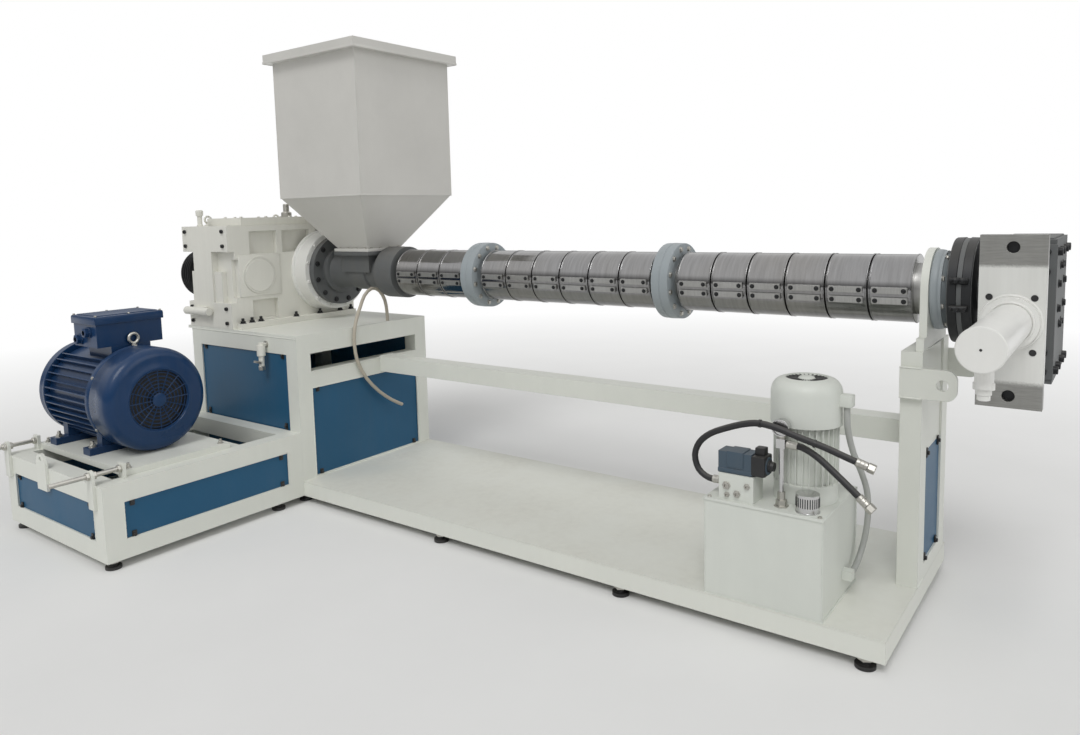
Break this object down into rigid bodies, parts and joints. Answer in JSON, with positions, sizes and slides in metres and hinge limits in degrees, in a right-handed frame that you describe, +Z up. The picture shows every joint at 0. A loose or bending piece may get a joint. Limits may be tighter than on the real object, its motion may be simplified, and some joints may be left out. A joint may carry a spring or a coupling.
{
  "type": "plastic extruder",
  "caption": "Single screw plastic extruder on welded frames, with hopper, geared drive, heated barrel, screen changer cylinder and hydraulic power pack.",
  "frame": {"origin": "middle of the machine's footprint on the floor", "axes": "+X along the machine from the drive to the outlet, +Y away from the operator's side, +Z up"},
  "size_m": [4.545, 2.309, 2.488],
  "materials": {
    "frame_paint": "satin off-white enamel",
    "panel_paint": "satin blue enamel",
    "hopper_paint": "satin light grey enamel",
    "gearbox_paint": "brushed-on cream enamel",
    "thrust_paint": "glossy white enamel",
    "motor_paint": "glossy blue enamel",
    "dark_paint": "dark grey enamel",
    "flange_paint": "light blue-grey enamel",
    "heater_steel": "polished stainless sheet",
    "machined_steel": "machined steel",
    "plated_steel": "zinc plated",
    "black_metal": "black",
    "tank_paint": "satin pale grey enamel",
    "valve_paint": "blue-grey enamel",
    "hose_rubber": "black rubber",
    "hose_clear": "milky soft plastic",
    "hose_beige": "beige rubber"
  },
  "bodies": {
    "root": {"levelling_feet": "machined_steel", "motor_stand_frame": "frame_paint", "draw_screw_lugs": "frame_paint", "gearbox_stand_frame": "frame_paint", "stand_panels": "panel_paint", "platform_frame": "frame_paint", "platform_deck": "frame_paint", "tie_beam": "frame_paint", "end_frame": "frame_paint", "end_panel": "panel_paint", "hinge_brackets": "frame_paint", "barrel_support": "frame_paint", "gearbox_housing": "gearbox_paint", "gearbox_covers": "gearbox_paint", "thrust_housing": "thrust_paint", "oil_fittings": "gearbox_paint", "feed_flange": "dark_paint", "feed_section": "dark_paint", "hopper_cone": "hopper_paint", "hopper_body": "hopper_paint", "hopper_lid": "hopper_paint", "barrel": "machined_steel", "joint_flanges": "flange_paint", "rear_heaters": "heater_steel", "middle_heaters": "heater_steel", "front_heaters": "heater_steel", "end_flange": "flange_paint", "heated_adapter": "dark_paint", "screen_changer": "dark_paint", "changer_slide": "machined_steel", "cylinder_plate": "frame_paint", "tie_bars": "machined_steel", "hydraulic_cylinder": "thrust_paint", "oil_tank": "tank_paint", "tank_lid": "tank_paint", "pump_motor": "tank_paint", "pump_motor_cover": "tank_paint", "valve_manifold": "tank_paint", "solenoid_valve": "valve_paint", "pressure_gauge": "plated_steel", "filler_cap": "plated_steel", "pressure_hose": "hose_rubber", "return_hose": "hose_rubber", "level_hose": "hose_clear", "water_hose": "hose_beige"},
    "motor": {"motor_base": "frame_paint", "motor_housing": "motor_paint", "motor_terminal_box": "motor_paint", "motor_fan_cowl": "motor_paint", "draw_screws": "plated_steel"},
    "rotor": {"motor_rotor": "machined_steel"},
    "drive_pulley": {"input_pulley": "black_metal"}
  },
  "joints": [
    {"name": "motor_slide", "type": "slide", "parent": "root", "child": "motor", "axis": [0, 1, 0], "range_m": [-0.04, 0.04]},
    {"name": "motor_rotor_spin", "type": "hinge", "parent": "motor", "child": "rotor", "pos_m": [-1.4485, -0.5655, 0.6763], "axis": [1, 0, 0], "continuous": true},
    {"name": "input_pulley_spin", "type": "hinge", "parent": "root", "child": "drive_pulley", "pos_m": [-2.2275, 0.2645, 1.218], "axis": [1, 0, 0], "continuous": true}
  ]
}
